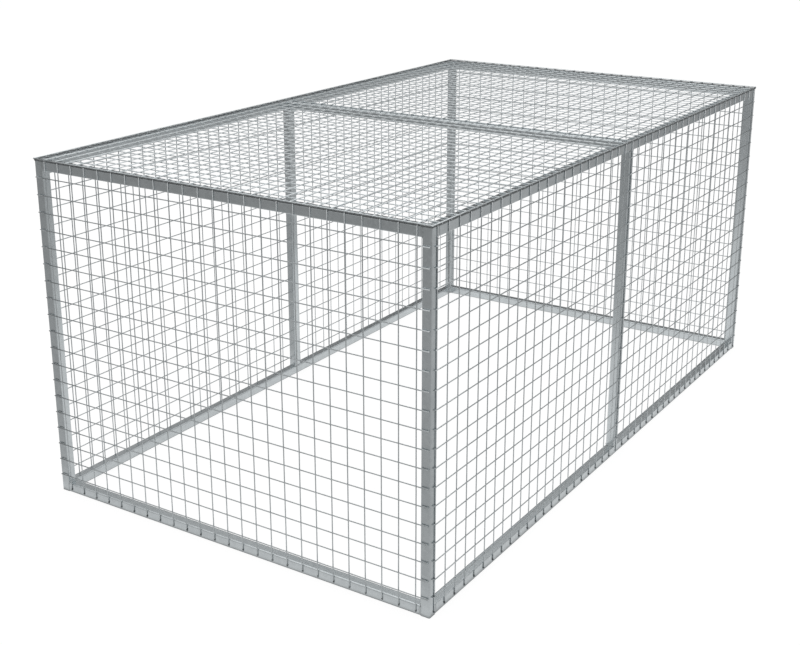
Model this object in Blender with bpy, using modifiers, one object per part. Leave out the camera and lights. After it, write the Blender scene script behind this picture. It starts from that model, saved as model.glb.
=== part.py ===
"""Rigid mesh cage: a welded square tube frame with wire mesh on four sides and the top.

The bottom is open. All lengths are in metres. The cage is long along X, wide along Y, and stands
on the plane z = 0 with the origin at the middle of its footprint. The long sides are called front
(-Y) and back (+Y), and the short ends are called left (-X) and right (+X).
"""

import math

import bmesh
import bpy

# Frame
LENGTH = 2.24
WIDTH = 1.28
HEIGHT = 1.00
TUBE = 0.028
WALL = 0.002
CORNER_RADIUS = 0.0035
CORNER_SEGMENTS = 3

# Fit between touching pieces
GAP = 0.0003

# End plates that close the corner posts
CAP_THICKNESS = 0.002
CAP_CORNER_RADIUS = 0.0012

# Wire mesh of the walls: every second wire of a 50 mm mesh, each bar with the steel of two 3 mm wires
WIRE_PITCH = 0.050
BAR_PITCH = 2 * WIRE_PITCH
BAR_WIDTH = 0.0024
MESH_DEPTH = 0.006
FIRST_ROW_HEIGHT = 0.053
SIDE_BARS = 23
END_BARS = 13
ROWS = 10
MESH_FOOT = 0.006
SIDE_INSET = 0.013
END_INSET = 0.004

# Wire mesh of the top: every third wire of a 40 mm mesh, with the steel of the whole sheet
TOP_WIRE_PITCH = 0.040
TOP_BAR_PITCH = 3 * TOP_WIRE_PITCH
TOP_BAR_WIDTH = 0.0031
TOP_LENGTH_BARS = 19
TOP_WIDTH_BARS = 11

QUARTER_TURN = math.pi / 2


def clear_scene():
    """Remove every object of the scene."""
    for old in list(bpy.data.objects):
        bpy.data.objects.remove(old, do_unlink=True)


def make_collection(name):
    """Make the collection that holds the parts."""
    collection = bpy.data.collections.new(name)
    bpy.context.scene.collection.children.link(collection)
    return collection


def make_material(name, color, roughness, metallic):
    """Make a Principled BSDF material."""
    material = bpy.data.materials.new(name)
    material.use_nodes = True
    shader = material.node_tree.nodes["Principled BSDF"]
    shader.inputs["Base Color"].default_value = (*color, 1.0)
    shader.inputs["Roughness"].default_value = roughness
    shader.inputs["Metallic"].default_value = metallic
    material.diffuse_color = (*color, 1.0)
    return material


def galvanized_tube_material():
    """Return the dull zinc of the frame tubes."""
    return make_material("galvanized_tube", (0.36, 0.39, 0.40), 0.45, 0.85)


def galvanized_wire_material():
    """Return the slightly brighter zinc of the wire mesh."""
    return make_material("galvanized_wire", (0.42, 0.45, 0.46), 0.40, 0.85)


def galvanized_plate_material():
    """Return the flat zinc of the end plates."""
    return make_material("galvanized_plate", (0.33, 0.36, 0.37), 0.50, 0.85)


def add_object(name, build_mesh, collection, material, location):
    """Link an object whose mesh is filled by build_mesh."""
    mesh = bpy.data.meshes.new(name)
    body = bmesh.new()
    build_mesh(body)
    body.to_mesh(mesh)
    body.free()
    mesh.materials.append(material)
    part = bpy.data.objects.new(name, mesh)
    part.location = location
    collection.objects.link(part)
    return part


def open_box(body, size, axis):
    """Fill body with a box of the given size, open at both ends of the axis."""
    bmesh.ops.create_cube(body, size=1.0)
    bmesh.ops.scale(body, vec=size, verts=body.verts)
    ends = [face for face in body.faces if abs(face.normal[axis]) > 0.5]
    bmesh.ops.delete(body, geom=ends, context="FACES_ONLY")


def add_tube(name, collection, material, axis, length, location):
    """Add a hollow square tube, centred on location, with open ends on the axis."""
    size = [TUBE, TUBE, TUBE]
    size[axis] = length
    part = add_object(name, lambda body: open_box(body, size, axis), collection, material, location)
    bevel = part.modifiers.new("rounded_corners", "BEVEL")
    bevel.width = CORNER_RADIUS
    bevel.segments = CORNER_SEGMENTS
    bevel.limit_method = "ANGLE"
    wall = part.modifiers.new("tube_wall", "SOLIDIFY")
    wall.thickness = WALL
    wall.offset = -1.0
    wall.use_even_offset = True
    wall.use_rim = True
    return part


def add_cap(name, collection, material, location):
    """Add the plate that sits inside the end of a corner post, flush with its rim."""
    side = TUBE - 2 * WALL - 2 * GAP
    size = (side, side, CAP_THICKNESS)

    def plate(body):
        bmesh.ops.create_cube(body, size=1.0)
        bmesh.ops.scale(body, vec=size, verts=body.verts)
        upright = [
            edge
            for edge in body.edges
            if abs(edge.verts[0].co.z - edge.verts[1].co.z) > CAP_THICKNESS / 2
        ]
        bmesh.ops.bevel(body, geom=upright, offset=CAP_CORNER_RADIUS, segments=1, affect="EDGES")

    return add_object(name, plate, collection, material, location)


def evenly_spaced(first, pitch, count):
    """Return count positions that start at first."""
    return [first + pitch * index for index in range(count)]


def centred(pitch, count):
    """Return count positions spread evenly about zero."""
    return evenly_spaced(-pitch * (count - 1) / 2, pitch, count)


def cut_lines(bars, ends, width):
    """Return the sorted cut lines of a sheet: both edges of each bar, and the ends bars overhang to."""
    lines = list(ends)
    for centre in bars:
        lines.append(centre - width / 2)
        lines.append(centre + width / 2)
    return sorted(lines)


def on_bar(position, bars, width):
    """Tell whether a position lies on one of the bars."""
    return any(abs(position - centre) < width / 2 for centre in bars)


def flat_grid(body, across, along, width):
    """Fill body with a flat grid of bars of one width in XY.

    across and along each hold the centres of the bars and the ends that the crossing bars reach.
    """
    across_lines = cut_lines(*across, width)
    along_lines = cut_lines(*along, width)
    columns = len(across_lines) - 1
    rows = len(along_lines) - 1
    bmesh.ops.create_grid(body, x_segments=columns, y_segments=rows, size=1.0)
    for vertex in body.verts:
        column = round((vertex.co.x + 1.0) / 2.0 * columns)
        row = round((vertex.co.y + 1.0) / 2.0 * rows)
        vertex.co.x = across_lines[column]
        vertex.co.y = along_lines[row]
    openings = []
    for face in body.faces:
        middle = face.calc_center_median()
        if not on_bar(middle.x, across[0], width) and not on_bar(middle.y, along[0], width):
            openings.append(face)
    bmesh.ops.delete(body, geom=openings, context="FACES")


def add_mesh_sheet(name, collection, material, bars, location, rotation):
    """Add a flat sheet of wire mesh, drawn in XY and then turned into place.

    bars holds the across bars, the along bars and their width.
    """
    part = add_object(name, lambda body: flat_grid(body, *bars), collection, material, location)
    part.rotation_euler = rotation
    depth = part.modifiers.new("sheet_depth", "SOLIDIFY")
    depth.thickness = MESH_DEPTH
    depth.offset = 0.0
    depth.use_rim = True
    return part


def shade_smooth(part, angle):
    """Shade the rounded corners smooth and keep the flat faces crisp."""
    part.data.shade_smooth()
    part.data.set_sharp_from_angle(angle=angle)


def add_posts(collection, material):
    """Add the four full-height corner posts and the two middle posts of the long sides."""
    x = LENGTH / 2 - TUBE / 2
    y = WIDTH / 2 - TUBE / 2
    for end, side_x in (("left", -x), ("right", x)):
        for side, side_y in (("front", -y), ("back", y)):
            place = (side_x, side_y, HEIGHT / 2)
            add_tube(f"corner_post_{end}_{side}", collection, material, 2, HEIGHT, place)
    middle_height = HEIGHT - 2 * TUBE - 2 * GAP
    for side, side_y in (("front", -y), ("back", y)):
        place = (0.0, side_y, HEIGHT / 2)
        add_tube(f"mid_post_{side}", collection, material, 2, middle_height, place)


def add_rails(collection, material):
    """Add the rails that run between the corner posts at the bottom and at the top."""
    x = LENGTH / 2 - TUBE / 2
    y = WIDTH / 2 - TUBE / 2
    long_rail = LENGTH - 2 * TUBE - 2 * GAP
    short_rail = WIDTH - 2 * TUBE - 2 * GAP
    for level, z in (("bottom", TUBE / 2), ("top", HEIGHT - TUBE / 2)):
        for side, side_y in (("front", -y), ("back", y)):
            add_tube(f"{level}_rail_{side}", collection, material, 0, long_rail, (0.0, side_y, z))
        for end, side_x in (("left", -x), ("right", x)):
            add_tube(f"{level}_rail_{end}", collection, material, 1, short_rail, (side_x, 0.0, z))
    place = (0.0, 0.0, HEIGHT - TUBE / 2)
    add_tube("top_cross_member", collection, material, 1, short_rail, place)


def add_caps(collection, material):
    """Add the flush plates in both ends of each corner post."""
    x = LENGTH / 2 - TUBE / 2
    y = WIDTH / 2 - TUBE / 2
    for level, z in (("bottom", CAP_THICKNESS / 2), ("top", HEIGHT - CAP_THICKNESS / 2)):
        for end, side_x in (("left", -x), ("right", x)):
            for side, side_y in (("front", -y), ("back", y)):
                add_cap(f"{level}_cap_{end}_{side}", collection, material, (side_x, side_y, z))


def with_edge_bars(bars, edge, width):
    """Return the bars with one more at each edge of the sheet."""
    return [-edge + width / 2] + bars + [edge - width / 2]


def add_wall_mesh(collection, material):
    """Add the sheets of the sides and ends, which overhang their last bars."""
    half_length = LENGTH / 2 - SIDE_INSET
    half_width = WIDTH / 2 - END_INSET
    along_length = (centred(BAR_PITCH, SIDE_BARS), (-half_length, half_length))
    along_width = (centred(BAR_PITCH, END_BARS), (-half_width, half_width))
    along_height = (evenly_spaced(FIRST_ROW_HEIGHT, BAR_PITCH, ROWS), (MESH_FOOT, HEIGHT))
    stand_off = MESH_DEPTH / 2 + GAP
    side_grid = (along_length, along_height, BAR_WIDTH)
    for side, sign in (("front", -1.0), ("back", 1.0)):
        place = (0.0, sign * (WIDTH / 2 + stand_off), 0.0)
        turn = (QUARTER_TURN, 0.0, 0.0)
        add_mesh_sheet(f"mesh_{side}", collection, material, side_grid, place, turn)
    end_grid = (along_width, along_height, BAR_WIDTH)
    for end, sign in (("left", -1.0), ("right", 1.0)):
        place = (sign * (LENGTH / 2 + stand_off), 0.0, 0.0)
        turn = (QUARTER_TURN, 0.0, QUARTER_TURN)
        add_mesh_sheet(f"mesh_{end}", collection, material, end_grid, place, turn)


def add_top_mesh(collection, material):
    """Add the sheet of the top, which has a bar along each edge."""
    length_bars = with_edge_bars(centred(TOP_BAR_PITCH, TOP_LENGTH_BARS), LENGTH / 2, TOP_BAR_WIDTH)
    width_bars = with_edge_bars(centred(TOP_BAR_PITCH, TOP_WIDTH_BARS), WIDTH / 2, TOP_BAR_WIDTH)
    grid = ((length_bars, ()), (width_bars, ()), TOP_BAR_WIDTH)
    place = (0.0, 0.0, HEIGHT + MESH_DEPTH / 2 + GAP)
    add_mesh_sheet("mesh_top", collection, material, grid, place, (0.0, 0.0, 0.0))


def build():
    """Build the whole cage."""
    clear_scene()
    parts = make_collection("mesh_cage")
    tube = galvanized_tube_material()
    wire = galvanized_wire_material()
    plate = galvanized_plate_material()
    add_posts(parts, tube)
    add_rails(parts, tube)
    add_caps(parts, plate)
    add_wall_mesh(parts, wire)
    add_top_mesh(parts, wire)
    for part in parts.objects:
        shade_smooth(part, 0.6)


build()
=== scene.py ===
import math
import random

import bpy
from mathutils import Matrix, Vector


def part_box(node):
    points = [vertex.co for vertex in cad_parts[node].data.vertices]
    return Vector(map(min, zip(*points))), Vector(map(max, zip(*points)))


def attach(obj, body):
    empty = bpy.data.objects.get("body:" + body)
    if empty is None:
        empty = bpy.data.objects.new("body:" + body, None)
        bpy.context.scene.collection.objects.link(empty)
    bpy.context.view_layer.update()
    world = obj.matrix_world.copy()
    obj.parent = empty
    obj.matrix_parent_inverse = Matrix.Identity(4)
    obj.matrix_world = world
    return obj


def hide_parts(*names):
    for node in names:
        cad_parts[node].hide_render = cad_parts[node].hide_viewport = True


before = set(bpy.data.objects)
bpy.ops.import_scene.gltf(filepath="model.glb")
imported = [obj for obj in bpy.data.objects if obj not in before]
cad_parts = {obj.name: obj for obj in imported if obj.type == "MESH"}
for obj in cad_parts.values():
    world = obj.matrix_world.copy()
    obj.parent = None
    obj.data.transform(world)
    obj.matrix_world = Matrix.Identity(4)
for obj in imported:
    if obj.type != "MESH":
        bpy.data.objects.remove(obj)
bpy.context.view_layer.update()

# All lengths are in metres.

# Frame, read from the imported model
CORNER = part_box("corner_post_right_back")[1]
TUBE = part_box("bottom_rail_front")[1].z
TOP = CORNER.z
HALF_LENGTH = CORNER.x
HALF_WIDTH = CORNER.y

# Wires. INNER and OUTER are how far the two layers' middles stand off the tubes.
WIRE_RADIUS = 0.0015
FUSED = 0.0005
INNER = WIRE_RADIUS
OUTER = 3 * WIRE_RADIUS - FUSED
WIRE_SIDES = 10
WIRE_CHAMFER = WIRE_RADIUS * 0.35
POINT_SPACING = 0.16
WAVER = 0.0003

# Edges sharper than this, in degrees, are not smoothed
SHARP_EDGE = 50

# Mesh of the walls
WALL_PITCH = 0.050
SIDE_WIRES = 45
END_WIRES = 25
ROWS = 19
FIRST_ROW = 0.053
FOOT = 0.006
SIDE_INSET = 0.013
END_INSET = 0.004

# Mesh of the top
TOP_PITCH = 0.040
CROSS_WIRES = 55
LONG_WIRES = 31
TOP_SAG = 0.0025
TOP_OVERHANG = 0.0022

# The top sheet is tied down at its fourth wire from the edge and at every fifth wire from there
TIE_FIRST = 3
TIE_STEP = 5

# Welds of the mesh, as half-sizes: along the wall, out of it and up, or on the top along X, up and along Y
SPOT_WELD = (0.0018, 0.0012, 0.0018)
LEVEL_TIE = (0.0032, 0.0022, 0.0016)
RAIL_TIE = (0.0021, 0.0010, 0.0036)
FOOT_TACK = (0.0018, 0.0019, 0.0042)
CROSS_TIE = (0.0022, 0.0014, 0.0036)
LONG_TIE = (0.0036, 0.0020, 0.0021)
SPOT_SPREAD = (0.92, 1.08)
LEVEL_TIE_SPREAD = (0.85, 1.15)
FOOT_TACK_SPREAD = (0.9, 1.15)
FOOT_TACK_RISE = (1.1, 1.35)
TIE_LUMPS = 0.06
TACK_LUMPS = 0.05

# How far the middles of those welds stand off the tubes, and how far level ties are from a wire's end
LEVEL_TIE_OUT = 0.0012
LEVEL_TIE_INSET = 0.0030
RAIL_TIE_OUT = 0.0004
FOOT_TACK_OUT = 0.0014
LONG_TIE_RISE = 0.0018

# Dark weld-like bead under the edge of the top sheet: painted shade where the edge wire shadows the tubes'
# top edge
EDGE_STEP = 0.005
EDGE_SPREAD = (0.86, 1.10)
EDGE_INSET = 0.0005
SIDE_EDGE_HEIGHT, SIDE_EDGE_RADIUS = 0.0002, 0.0024
END_EDGE_HEIGHT, END_EDGE_RADIUS = -0.0006, 0.0022

# Welds of the frame
WELD_SIDES = 8
RIPPLE = 0.0022
RIPPLE_SWELL = 0.16
RIPPLE_SPREAD = 0.03
END_TAPER = 0.45
FILLET_RADIUS = 0.0023
FILLET_INSET = 0.0004
GROUND_RADIUS = 0.0032
GROUND_FLATTEN = 0.12
SEAM_INSET = 0.002

# A seam closer than this to the outside of the cage is ground flush
FLUSH = 0.001

X_AXIS, Y_AXIS, Z_AXIS = Vector((1, 0, 0)), Vector((0, 1, 0)), Vector((0, 0, 1))
RNG = random.Random(11)


# ---------------------------------------------------------------- materials

class Graph:
    """The nodes of one material or world. Its methods add nodes and return what comes out of them."""

    def __init__(self, tree):
        self.nodes, self.links = tree.nodes, tree.links

    def coordinates(self, kind):
        return self.nodes.new("ShaderNodeTexCoord").outputs[kind]

    def axes(self, vector):
        split = self.nodes.new("ShaderNodeSeparateXYZ")
        self.links.new(vector, split.inputs["Vector"])
        return [split.outputs[axis] for axis in "XYZ"]

    def calculate(self, operation, first, second=0.0):
        node = self.nodes.new("ShaderNodeMath")
        node.operation = operation
        for socket, value in zip(node.inputs, (first, second)):
            if isinstance(value, (int, float)):
                socket.default_value = value
            else:
                self.links.new(value, socket)
        return node.outputs["Value"]

    def product(self, first, *others):
        for other in others:
            first = self.calculate("MULTIPLY", first, other)
        return first

    def largest(self, first, *others):
        for other in others:
            first = self.calculate("MAXIMUM", first, other)
        return first

    def weighted(self, *pairs):
        """The sum of the sources, each times its weight."""
        total = 0.0
        for source, weight in pairs:
            total = self.calculate("ADD", self.calculate("MULTIPLY", source, weight), total)
        return total

    def span(self, source, start, end, low=0.0, high=1.0):
        """Runs from low to high while the source runs from start to end."""
        node = self.nodes.new("ShaderNodeMapRange")
        node.inputs["From Min"].default_value = start
        node.inputs["From Max"].default_value = end
        node.inputs["To Min"].default_value = low
        node.inputs["To Max"].default_value = high
        self.links.new(source, node.inputs["Value"])
        return node.outputs["Result"]

    def ramp(self, source, stops):
        """A colour ramp. Each stop is a place and a colour, or a place and a grey level."""
        node = self.nodes.new("ShaderNodeValToRGB")
        points = node.color_ramp.elements
        while len(points) < len(stops):
            points.new(0.5)
        for point, (place, color) in zip(points, stops):
            point.position = place
            point.color = (*color, 1.0) if isinstance(color, tuple) else (color, color, color, 1.0)
        self.links.new(source, node.inputs["Fac"])
        return node.outputs["Color"]

    def stretched(self, vector, scale):
        node = self.nodes.new("ShaderNodeMapping")
        node.inputs["Scale"].default_value = scale
        self.links.new(vector, node.inputs["Vector"])
        return node.outputs["Vector"]

    def noise(self, vector, scale, detail, roughness):
        node = self.nodes.new("ShaderNodeTexNoise")
        node.inputs["Scale"].default_value = scale
        node.inputs["Detail"].default_value = detail
        node.inputs["Roughness"].default_value = roughness
        self.links.new(vector, node.inputs["Vector"])
        return node.outputs["Fac"]

    def flakes(self, vector, scale):
        """A random level for each cell of a Voronoi pattern."""
        cells = self.nodes.new("ShaderNodeTexVoronoi")
        cells.inputs["Scale"].default_value = scale
        self.links.new(vector, cells.inputs["Vector"])
        split = self.nodes.new("ShaderNodeSeparateColor")
        self.links.new(cells.outputs["Color"], split.inputs["Color"])
        return split.outputs["Red"]

    def camera_split(self, seen, reflected):
        """The shader `seen` for what the camera looks at, and `reflected` for all other rays."""
        node = self.nodes.new("ShaderNodeMixShader")
        self.links.new(self.nodes.new("ShaderNodeLightPath").outputs["Is Camera Ray"], node.inputs["Fac"])
        self.links.new(reflected, node.inputs[1])
        self.links.new(seen, node.inputs[2])
        return node.outputs["Shader"]


def new_material(name, metallic, roughness, specular=0.5):
    material = bpy.data.materials.new(name)
    material.use_nodes = True
    shader = material.node_tree.nodes["Principled BSDF"]
    shader.inputs["Metallic"].default_value = metallic
    shader.inputs["Roughness"].default_value = roughness
    shader.inputs["Specular IOR Level"].default_value = specular
    return material, Graph(material.node_tree), shader


# Painted highlight on the wires where they lie over the tubes: its colour, how much of it lies on a bottom
# rail and on a post, the heights between which it grows on level wires, and how softly it ends
PAINTED_HIGHLIGHT = (0.88, 0.915, 0.93)
HIGHLIGHT_ON_FOOT = 0.3
HIGHLIGHT_ON_POST = 0.35
HIGHLIGHT_FROM, HIGHLIGHT_FULL = 0.35, 0.80
SOFT = 0.001


def place_from_middle(graph, place):
    """How far out a point is along X and along Y, and its height."""
    return [graph.calculate("ABSOLUTE", axis) for axis in graph.axes(place)]


def past_inner_face(graph, out, half):
    """1 past the inner face of the corner posts, in one direction."""
    return graph.span(out, half - TUBE - SOFT, half - TUBE + SOFT)


def on_middle_post(graph, out_x):
    """1 on the middle posts, seen along X."""
    return graph.span(out_x, TUBE / 2 - SOFT, TUBE / 2 + SOFT, 1.0, 0.0)


def upright_highlight(graph, place):
    """Painted highlight: 1 where an upright wire lies on a top rail, and less on a bottom rail or a post."""
    out_x, _, height = place_from_middle(graph, place)
    top = graph.span(height, TOP - TUBE - 2 * SOFT, TOP - TUBE + SOFT)
    foot = graph.span(height, TUBE - SOFT, TUBE + 2 * SOFT, HIGHLIGHT_ON_FOOT, 0.0)
    short_of_end = graph.span(out_x, HALF_LENGTH - SOFT, HALF_LENGTH, 1.0, 0.0)
    corner = graph.product(past_inner_face(graph, out_x, HALF_LENGTH), short_of_end)
    posts = graph.product(graph.largest(corner, on_middle_post(graph, out_x)), HIGHLIGHT_ON_POST)
    return graph.largest(top, foot, posts)


def level_highlight(graph, place):
    """Painted highlight: 1 where a level wire lies on the top of a post, fading to 0 lower down."""
    out_x, out_y, height = place_from_middle(graph, place)
    corner = graph.calculate("MINIMUM", past_inner_face(graph, out_x, HALF_LENGTH),
                             past_inner_face(graph, out_y, HALF_WIDTH))
    posts = graph.largest(corner, on_middle_post(graph, out_x))
    return graph.product(posts, graph.span(height, HIGHLIGHT_FROM, HIGHLIGHT_FULL))


def zinc(name, dark, light, roughness, spangle=90.0, bump=0.05, metallic=0.95, highlight=None):
    """Hot-dip zinc: a fine spangle, cloudy patches, faint run marks and a slight orange-peel surface.

    The last argument is a function that finds where a painted highlight lightens the wires where they lie
    over the tubes.
    """
    material, graph, shader = new_material(name, metallic, roughness)
    place = graph.coordinates("Object")
    flake = graph.flakes(place, spangle)
    cloud = graph.noise(place, 6.0, 4.0, 0.55)
    run = graph.noise(graph.stretched(place, (70.0, 70.0, 6.0)), 1.0, 4.0, 0.6)
    tone = graph.weighted((flake, 0.30), (cloud, 0.45), (run, 0.25))
    stops = [(0.25, dark), (0.75, light)]
    if highlight:  # the lower half of the ramp is the bare zinc
        # the painted highlight lifts the tone into the top stop of the ramp
        tone = graph.weighted((tone, 0.5), (highlight(graph, place), 0.6))
        stops = [(0.125, dark), (0.375, light), (0.80, PAINTED_HIGHLIGHT)]
    graph.links.new(graph.ramp(tone, stops), shader.inputs["Base Color"])
    rough = graph.weighted((flake, 0.40), (cloud, 0.60))
    rough = graph.span(rough, 0.0, 1.0, roughness - 0.05, roughness + 0.06)
    graph.links.new(rough, shader.inputs["Roughness"])
    peel = graph.noise(place, 240.0, 2.0, 0.5)
    lumps = graph.noise(place, 32.0, 3.0, 0.5)
    relief = graph.nodes.new("ShaderNodeBump")
    relief.inputs["Strength"].default_value = bump
    relief.inputs["Distance"].default_value = 0.001
    graph.links.new(graph.weighted((peel, 0.35), (lumps, 0.65)), relief.inputs["Height"])
    graph.links.new(relief.outputs["Normal"], shader.inputs["Normal"])
    return material


TUBE_ZINC = zinc("zinc_tube", (0.55, 0.585, 0.60), (0.64, 0.68, 0.695), 0.24)
# The wire zinc comes in lit and shaded copies: the level wires' copy is darker as painted shade, the upright
# wires' copy lighter as painted light
SHADED_LEVEL_ZINC = zinc("zinc_level_wire_shaded", (0.45, 0.477, 0.487), (0.56, 0.592, 0.604), 0.36,
                  spangle=150.0, metallic=0.85, highlight=level_highlight)
LIT_UPRIGHT_ZINC = zinc("zinc_upright_wire_lit", (0.54, 0.572, 0.584), (0.66, 0.698, 0.712), 0.42,
                    spangle=150.0, metallic=0.85, highlight=upright_highlight)
# The top sheet's wire zinc is a still lighter copy, painted light as if catching the overhead light
LIT_TOP_WIRE_ZINC = zinc("zinc_top_wire_lit", (0.672, 0.71, 0.725), (0.84, 0.888, 0.906), 0.34,
                     spangle=150.0, metallic=0.90)
SEAM_ZINC = zinc("zinc_seam", (0.44, 0.47, 0.48), (0.60, 0.635, 0.65), 0.38, spangle=220.0, bump=0.20)
# Dark zinc for the foot welds, also used as painted shade in the bead under the top sheet's edge wires
TACK_AND_SHADE_ZINC = zinc("zinc_tack_and_painted_shade", (0.12, 0.128, 0.132), (0.26, 0.275, 0.28), 0.48,
                 spangle=320.0, bump=0.30, metallic=0.85)
PLATE_ZINC = zinc("zinc_plate", (0.50, 0.53, 0.545), (0.62, 0.655, 0.67), 0.34)


# ---------------------------------------------------------------- shapes

def new_shape():
    """A shape is a list of vertices and a list of faces."""
    return [], []


def finish_piece(name, shape, material, replaces=()):
    mesh = bpy.data.meshes.new(name)
    mesh.from_pydata(shape[0], [], shape[1])
    mesh.materials.append(material)
    mesh.shade_smooth()
    mesh.set_sharp_from_angle(angle=math.radians(SHARP_EDGE))
    piece = bpy.data.objects.new(name, mesh)
    bpy.context.scene.collection.objects.link(piece)
    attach(piece, "root")
    if replaces:
        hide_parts(*replaces)


def sweep(shape, points, radii, sides, side_axis, up_axis):
    """Adds a closed tube through the points, with its rings in the plane of side_axis and up_axis."""
    vertices, faces = shape
    first = len(vertices)
    for point, radius in zip(points, radii):
        for index in range(sides):
            angle = 2 * math.pi * index / sides
            across, rise = radius * math.cos(angle), radius * math.sin(angle)
            vertices.append(point + side_axis * across + up_axis * rise)
    last = first + sides * (len(points) - 1)
    for ring in range(first, last, sides):
        for index in range(sides):
            after = (index + 1) % sides
            faces.append((ring + index, ring + after, ring + sides + after, ring + sides + index))
    faces.append([first + index for index in reversed(range(sides))])
    faces.append([last + index for index in range(sides)])


def wire(shape, start, end, side_axis, up_axis, sag=None):
    """Adds a wire with a very slight waver along side_axis and small chamfers at its ends."""
    along = (end - start).normalized()
    if along.cross(side_axis).dot(up_axis) < 0:
        up_axis = -up_axis
    count = max(3, round((end - start).length / POINT_SPACING) + 1)
    points = []
    for index in range(count):
        point = start.lerp(end, index / (count - 1)) + side_axis * RNG.uniform(-WAVER, WAVER)
        if sag is not None:
            point.z -= sag(point.x, point.y)
        points.append(point)
    inset = along * WIRE_CHAMFER
    path = [points[0], points[0] + inset, *points[1:-1], points[-1] - inset, points[-1]]
    radii = [WIRE_RADIUS - WIRE_CHAMFER] + [WIRE_RADIUS] * count + [WIRE_RADIUS - WIRE_CHAMFER]
    sweep(shape, path, radii, WIRE_SIDES, side_axis, up_axis)


def unit_ball(segments, rings):
    """Returns the vertices and faces of a ball of radius 1."""
    vertices = [Vector((0, 0, -1))]
    for ring in range(1, rings):
        tilt = math.pi * ring / rings
        flat = math.sin(tilt)
        for segment in range(segments):
            turn = 2 * math.pi * segment / segments
            vertices.append(Vector((flat * math.cos(turn), flat * math.sin(turn), -math.cos(tilt))))
    vertices.append(Vector((0, 0, 1)))
    top = len(vertices) - 1
    faces = []
    for segment in range(segments):
        after = (segment + 1) % segments
        faces.append((0, 1 + after, 1 + segment))
        faces.append((top, top - segments + segment, top - segments + after))
        for ring in range(rings - 2):
            low = 1 + ring * segments
            faces.append((low + segment, low + after, low + segments + after, low + segments + segment))
    return vertices, faces


SPOT = unit_ball(6, 4)
LUMP = unit_ball(10, 7)


def blob(shape, ball, centre, size, roughen=0.0):
    """Adds a ball of weld metal with the half-sizes of size."""
    first = len(shape[0])
    for vertex in ball[0]:
        swell = 1.0 + RNG.uniform(-roughen, roughen)
        shape[0].append(Vector((vertex.x * size.x, vertex.y * size.y, vertex.z * size.z)) * swell + centre)
    shape[1].extend([tuple(first + index for index in face) for face in ball[1]])


# ---------------------------------------------------------------- mesh sheets

def centred(count, pitch):
    return [pitch * (index - (count - 1) / 2) for index in range(count)]


SIDE_X = centred(SIDE_WIRES, WALL_PITCH)
END_Y = centred(END_WIRES, WALL_PITCH)
ROW_Z = [FIRST_ROW + WALL_PITCH * index for index in range(ROWS)]


def wall_sheet(name, uprights, half, place, run_axis, out_axis):
    """A wall of mesh: upright wires against the rails, and level wires outside them.

    uprights holds the upright wires' places along run_axis, half is half the length of a level wire,
    and place(run, out, z) gives a point.
    """
    levels, stands, spots, feet, ties = [new_shape() for _ in range(5)]
    along = Vector([abs(value) for value in run_axis])
    depth = Vector([abs(value) for value in out_axis])

    def sizes(weld, run_scale=1.0, height_scale=1.0):
        return along * weld[0] * run_scale + depth * weld[1] + Z_AXIS * weld[2] * height_scale

    for z in ROW_Z:
        wire(levels, place(-half, OUTER, z), place(half, OUTER, z), Z_AXIS, out_axis)
    for run in uprights:
        wire(stands, place(run, INNER, FOOT), place(run, INNER, TOP), run_axis, out_axis)
    for z in ROW_Z:
        for run in uprights:
            centre = place(run, (INNER + OUTER) / 2, z)
            blob(spots, SPOT, centre, sizes(SPOT_WELD) * RNG.uniform(*SPOT_SPREAD))
    for z in ROW_Z:
        for sign in (-1, 1):
            size = sizes(LEVEL_TIE, run_scale=RNG.uniform(*LEVEL_TIE_SPREAD))
            blob(ties, LUMP, place(sign * (half - LEVEL_TIE_INSET), LEVEL_TIE_OUT, z), size, TIE_LUMPS)
    for run in uprights:
        size = sizes(FOOT_TACK, height_scale=RNG.uniform(*FOOT_TACK_SPREAD))
        height = FOOT + FOOT_TACK[2] * RNG.uniform(*FOOT_TACK_RISE)
        blob(feet, LUMP, place(run, FOOT_TACK_OUT, height), size, TACK_LUMPS)
    for run in uprights[1::3]:
        blob(ties, LUMP, place(run, RAIL_TIE_OUT, TOP - TUBE / 2), sizes(RAIL_TIE), TIE_LUMPS)
    finish_piece("level_wires_" + name, levels, SHADED_LEVEL_ZINC, ("mesh_" + name,))
    finish_piece("upright_wires_" + name, stands, LIT_UPRIGHT_ZINC)
    finish_piece("spot_welds_" + name, spots, SHADED_LEVEL_ZINC)
    finish_piece("foot_welds_" + name, feet, TACK_AND_SHADE_ZINC)
    finish_piece("tie_welds_" + name, ties, SEAM_ZINC)


def build_walls():
    for name, sign in (("front", -1), ("back", 1)):
        wall_sheet(name, SIDE_X, HALF_LENGTH - SIDE_INSET,
                   lambda run, out, z, sign=sign: Vector((run, sign * (HALF_WIDTH + out), z)),
                   X_AXIS, Y_AXIS * sign)
    for name, sign in (("left", -1), ("right", 1)):
        wall_sheet(name, END_Y, HALF_WIDTH - END_INSET,
                   lambda run, out, z, sign=sign: Vector((sign * (HALF_LENGTH + out), run, z)),
                   Y_AXIS, X_AXIS * sign)


def sag_at(x, y):
    """How far the top sheet hangs below its supports, in the bay on either side of the cross-member."""
    bay = min(1.0, abs(x) / (HALF_LENGTH - TUBE))
    across = min(1.0, abs(y) / (HALF_WIDTH - TUBE))
    return TOP_SAG * math.sin(math.pi * bay) * math.cos(math.pi / 2 * across)


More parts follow.
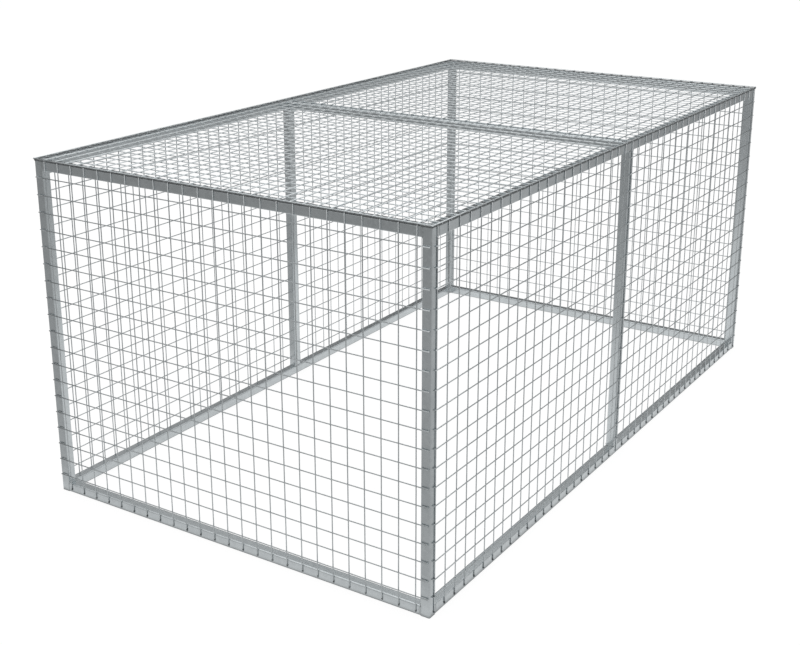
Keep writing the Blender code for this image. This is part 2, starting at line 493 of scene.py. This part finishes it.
def painted_shade_run(shape, start, end, height, radius, side_axis):
    """Adds a dark weld-like bead under one edge wire of the top sheet, as painted shade; start and end are
    corners, as signs.
    """
    half_x, half_y = HALF_LENGTH - EDGE_INSET, HALF_WIDTH - EDGE_INSET
    start, end = [Vector((x * half_x, y * half_y, TOP + height)) for x, y in (start, end)]
    count = round((end - start).length / EDGE_STEP)
    points = [start.lerp(end, index / count) for index in range(count + 1)]
    radii = [radius * RNG.uniform(*EDGE_SPREAD) for _ in points]
    along = (end - start).normalized()
    up_axis = Z_AXIS if along.cross(side_axis).z > 0 else -Z_AXIS
    sweep(shape, points, radii, WELD_SIDES, side_axis, up_axis)


def build_top():
    """The top sheet: cross wires on the tubes, long wires on the cross wires, and an edge wire all round."""
    end_x, end_y = HALF_LENGTH + TOP_OVERHANG, HALF_WIDTH + TOP_OVERHANG
    edge_x, edge_y = end_x - WIRE_RADIUS, end_y - WIRE_RADIUS
    cross_x = [-edge_x, *centred(CROSS_WIRES, TOP_PITCH), edge_x]
    long_y = [-edge_y, *centred(LONG_WIRES, TOP_PITCH), edge_y]
    wires, spots, ties, run = [new_shape() for _ in range(4)]

    def sizes(weld):
        return Vector((weld[0], weld[2], weld[1]))

    for y in long_y:
        start, end = Vector((-edge_x, y, TOP + OUTER)), Vector((edge_x, y, TOP + OUTER))
        wire(wires, start, end, Y_AXIS, Z_AXIS, sag_at)
    for x in cross_x:
        height = TOP + (OUTER if abs(x) == edge_x else INNER)
        start, end = Vector((x, -end_y, height)), Vector((x, end_y, height))
        wire(wires, start, end, X_AXIS, Z_AXIS, sag_at)
    for x in cross_x:
        for y in long_y:
            centre = Vector((x, y, TOP + (INNER + OUTER) / 2 - sag_at(x, y)))
            blob(spots, SPOT, centre, sizes(SPOT_WELD) * RNG.uniform(*SPOT_SPREAD))
    for x in cross_x[TIE_FIRST:-TIE_FIRST:TIE_STEP]:
        for sign in (-1, 1):
            centre = Vector((x, sign * (HALF_WIDTH - TUBE / 2), TOP + INNER / 2))
            blob(ties, LUMP, centre, sizes(CROSS_TIE), TIE_LUMPS)
    for y in long_y[TIE_FIRST:-TIE_FIRST:TIE_STEP]:
        for sign in (-1, 1):
            centre = Vector((sign * (HALF_LENGTH - TUBE / 2), y, TOP + LONG_TIE_RISE))
            blob(ties, LUMP, centre, sizes(LONG_TIE), TIE_LUMPS)
    # painted shade: a dark bead under each edge wire of the top sheet
    for sign in (-1, 1):
        painted_shade_run(run, (-1, sign), (1, sign), SIDE_EDGE_HEIGHT, SIDE_EDGE_RADIUS, Y_AXIS)
        painted_shade_run(run, (sign, -1), (sign, 1), END_EDGE_HEIGHT, END_EDGE_RADIUS, X_AXIS)
    finish_piece("painted_shade_edge_top", run, TACK_AND_SHADE_ZINC)
    finish_piece("wires_top", wires, LIT_TOP_WIRE_ZINC, ("mesh_top",))
    finish_piece("spot_welds_top", spots, LIT_TOP_WIRE_ZINC)
    finish_piece("tie_welds_top", ties, SEAM_ZINC)


# ---------------------------------------------------------------- frame welds

def bead(shape, start, end, radius, flat_axis=None, flatten=1.0):
    """Adds a rippled weld bead along a seam, squashed along flat_axis where it was ground nearly flush."""
    along = (end - start).normalized()
    side = Z_AXIS if abs(along.z) < 0.5 else X_AXIS
    up = along.cross(side).normalized()
    length = (end - start).length
    count = max(6, round(length / (RIPPLE / 3)))
    points, radii = [], []
    for index in range(count + 1):
        share = index / count
        ripple = RIPPLE_SWELL * abs(math.sin(math.pi * share * length / RIPPLE))
        swell = 1.0 + ripple + RNG.uniform(-RIPPLE_SPREAD, RIPPLE_SPREAD)
        to_end = min(share, 1.0 - share) * length
        taper = min(1.0, END_TAPER + (1.0 - END_TAPER) * to_end / radius)
        points.append(start.lerp(end, share))
        radii.append(radius * swell * taper)
    first = len(shape[0])
    sweep(shape, points, radii, WELD_SIDES, side, up)
    if flat_axis is not None:
        for vertex in shape[0][first:]:
            vertex -= flat_axis * ((vertex - start).dot(flat_axis) * (1.0 - flatten))


def end_welds(shape, node, axis, sign):
    """Welds round one end of a tube, where it butts on another: fillets inside, ground seams outside."""
    low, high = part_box(node)
    seam = high[axis] if sign > 0 else low[axis]
    cross = [index for index in range(3) if index != axis]
    for index, other in (cross, reversed(cross)):
        outer = (HALF_LENGTH, HALF_WIDTH, TOP)[index]
        flat_axis = (X_AXIS, Y_AXIS, Z_AXIS)[index]
        for level in (low[index], high[index]):
            if index == 2 and level < FLUSH:  # the face on the floor
                continue
            start, end = Vector(), Vector()
            start[axis] = end[axis] = seam
            start[index] = end[index] = level
            start[other], end[other] = low[other] + SEAM_INSET, high[other] - SEAM_INSET
            if abs(level) > outer - FLUSH:
                bead(shape, start, end, GROUND_RADIUS, flat_axis, GROUND_FLATTEN)
            else:
                start[axis] -= sign * FILLET_INSET
                end[axis] -= sign * FILLET_INSET
                bead(shape, start, end, FILLET_RADIUS)


def build_frame_welds():
    corner, middle = new_shape(), new_shape()
    for sign in (-1, 1):
        for level in ("bottom", "top"):
            for side in ("front", "back"):
                end_welds(corner, f"{level}_rail_{side}", 0, sign)
            for end in ("left", "right"):
                end_welds(corner, f"{level}_rail_{end}", 1, sign)
        for side in ("front", "back"):
            end_welds(middle, f"mid_post_{side}", 2, sign)
        end_welds(middle, "top_cross_member", 1, sign)
    finish_piece("corner_welds", corner, SEAM_ZINC)
    finish_piece("middle_welds", middle, SEAM_ZINC)


def dress_frame():
    for name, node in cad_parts.items():
        if not name.startswith("mesh_"):
            material = PLATE_ZINC if "_cap_" in name else TUBE_ZINC
            for slot in node.material_slots:
                slot.material = material


# ---------------------------------------------------------------- stage

FLOOR_SIZE = 60.0
FLOOR_BASE = (0.16, 0.16, 0.16, 1.0)
FLOOR_WHITENESS = 0.90
WHITE = (1.0, 1.0, 1.0, 1.0)

# The floor's glow as the metal reflects it, by the distance from the cage
GLOW_REACH = 10.0
GLOW = ((0.0, 0.82), (0.15, 0.56), (0.6, 0.50), (2.5, 0.48), (4.0, 0.44), (10.0, 0.32))
GLOW_UNDER_RAILS = 0.40

# The sky's brightness as the metal reflects it, by the sine of the elevation
SKY = ((0.0, 0.0), (0.26, 0.14), (0.34, 0.24), (0.46, 0.62), (0.60, 0.72), (0.76, 0.78), (1.0, 0.86))

# The brightness near the horizon, from the back left corner at 0 to the front right corner at 1
HORIZON = ((0.0, 0.34), (0.25, 0.20), (0.42, 0.26), (0.75, 0.14), (0.92, 0.32))

# How much of the low sky is left behind the cage
BEHIND_LEVEL = 0.08

# name, location, target, size, power in watts
LIGHTS = (
    ("overhead", (0.4, 0.6, 4.6), (0.0, 0.0, 0.4), (4.5, 4.0), 36.0),
    ("right_softbox", (2.0, -4.8, 2.8), (0.2, 0.0, 0.3), (3.0, 2.2), 15.0),
    ("left_softbox", (-4.6, 2.4, 2.8), (-0.4, 0.0, 0.4), (2.4, 2.2), 8.0),
)

CAMERA_LOCATION = (-3.483, -2.078, 1.769)
CAMERA_DOWN = 17.63
CAMERA_TURN = 32.83
CAMERA_LENS = 57.934
CAMERA_SHIFT = -0.06


def build_floor():
    """A white floor that looks evenly lit, and reflects in the metal as a pool of light round the cage."""
    bpy.ops.mesh.primitive_plane_add(size=FLOOR_SIZE, location=(0.0, 0.0, 0.0))
    floor = bpy.context.object
    floor.name = "floor"
    material, graph, shader = new_material("floor_white", 0.0, 0.9, 0.0)
    shader.inputs["Base Color"].default_value = FLOOR_BASE
    shader.inputs["Emission Color"].default_value = WHITE
    shader.inputs["Emission Strength"].default_value = FLOOR_WHITENESS

    # a pool of light by the distance past the cage's sides, dimmer under the bottom rails
    x, y, _ = graph.axes(graph.coordinates("Object"))
    past = graph.largest(graph.calculate("SUBTRACT", graph.calculate("ABSOLUTE", x), HALF_LENGTH),
                         graph.calculate("SUBTRACT", graph.calculate("ABSOLUTE", y), HALF_WIDTH))
    pool = graph.ramp(graph.calculate("DIVIDE", past, GLOW_REACH),
                      [(distance / GLOW_REACH, level) for distance, level in GLOW])
    under = graph.product(graph.span(past, -TUBE - 0.004, -TUBE), graph.span(past, 0.001, 0.012, 1.0, 0.0))
    shade = graph.span(under, 0.0, 1.0, 1.0, GLOW_UNDER_RAILS)

    # brighter to the front right, dimmer far past the right end, brighter round the corner near the camera
    side = graph.span(graph.weighted((x, 0.068), (y, -0.042)), -0.36, 0.12, 0.70, 1.13)
    far_right = graph.span(x, 2.8, 3.8, 1.0, 0.76)
    near_camera = graph.product(graph.span(x, -1.55, -1.05, 1.0, 0.0),
                                graph.span(y, -1.10, -0.58, 1.0, 0.0))
    lift = graph.span(near_camera, 0.0, 1.0, 1.0, 1.1)

    glow = graph.nodes.new("ShaderNodeEmission")
    graph.links.new(graph.product(pool, shade, side, far_right, lift), glow.inputs["Color"])
    both = graph.camera_split(shader.outputs["BSDF"], glow.outputs["Emission"])
    graph.links.new(both, graph.nodes["Material Output"].inputs["Surface"])
    floor.data.materials.append(material)


def build_world():
    """White to the camera; to the metal, dim near the horizon, dark behind the cage and bright overhead."""
    world = bpy.data.worlds.new("studio")
    bpy.context.scene.world = world
    world.use_nodes = True
    graph = Graph(world.node_tree)
    graph.nodes.clear()
    x, y, z = graph.axes(graph.coordinates("Generated"))
    sky = graph.ramp(graph.span(z, -1.0, 1.0), [((1 + sine) / 2, level) for sine, level in SKY])
    round_about = graph.calculate("ADD", graph.weighted((x, 0.40), (y, -0.30)), 0.5)
    horizon = graph.product(graph.ramp(round_about, HORIZON), graph.span(z, 0.15, 0.45, 1.0, 0.0))
    behind = graph.product(graph.span(graph.weighted((x, 0.70), (y, 0.71)), 0.10, 0.60),
                           graph.span(z, 0.28, 0.42, 1.0, 0.0))
    level = graph.product(graph.largest(sky, horizon), graph.span(behind, 0.0, 1.0, 1.0, BEHIND_LEVEL))
    lit, white = [graph.nodes.new("ShaderNodeBackground") for _ in range(2)]
    graph.links.new(level, lit.inputs["Color"])
    white.inputs["Color"].default_value = WHITE
    output = graph.nodes.new("ShaderNodeOutputWorld")
    both = graph.camera_split(white.outputs["Background"], lit.outputs["Background"])
    graph.links.new(both, output.inputs["Surface"])


def area_light(name, location, target, size, power):
    data = bpy.data.lights.new(name, "AREA")
    data.shape = "RECTANGLE"
    data.size, data.size_y = size
    data.energy = power
    light = bpy.data.objects.new(name, data)
    bpy.context.scene.collection.objects.link(light)
    light.location = location
    light.rotation_mode = "QUATERNION"
    light.rotation_quaternion = (Vector(target) - Vector(location)).to_track_quat("-Z", "Y")


def build_camera():
    data = bpy.data.cameras.new("camera")
    data.sensor_width = 36.0
    data.lens = CAMERA_LENS
    data.shift_y = CAMERA_SHIFT
    camera = bpy.data.objects.new("camera", data)
    bpy.context.scene.collection.objects.link(camera)
    camera.location = CAMERA_LOCATION
    camera.rotation_euler = (math.radians(90.0 - CAMERA_DOWN), 0.0, math.radians(CAMERA_TURN - 90.0))
    bpy.context.scene.camera = camera


build_walls()
build_top()
build_frame_welds()
dress_frame()
build_floor()
build_world()
for settings in LIGHTS:
    area_light(*settings)
build_camera()
bpy.context.scene.view_settings.view_transform = "Standard"
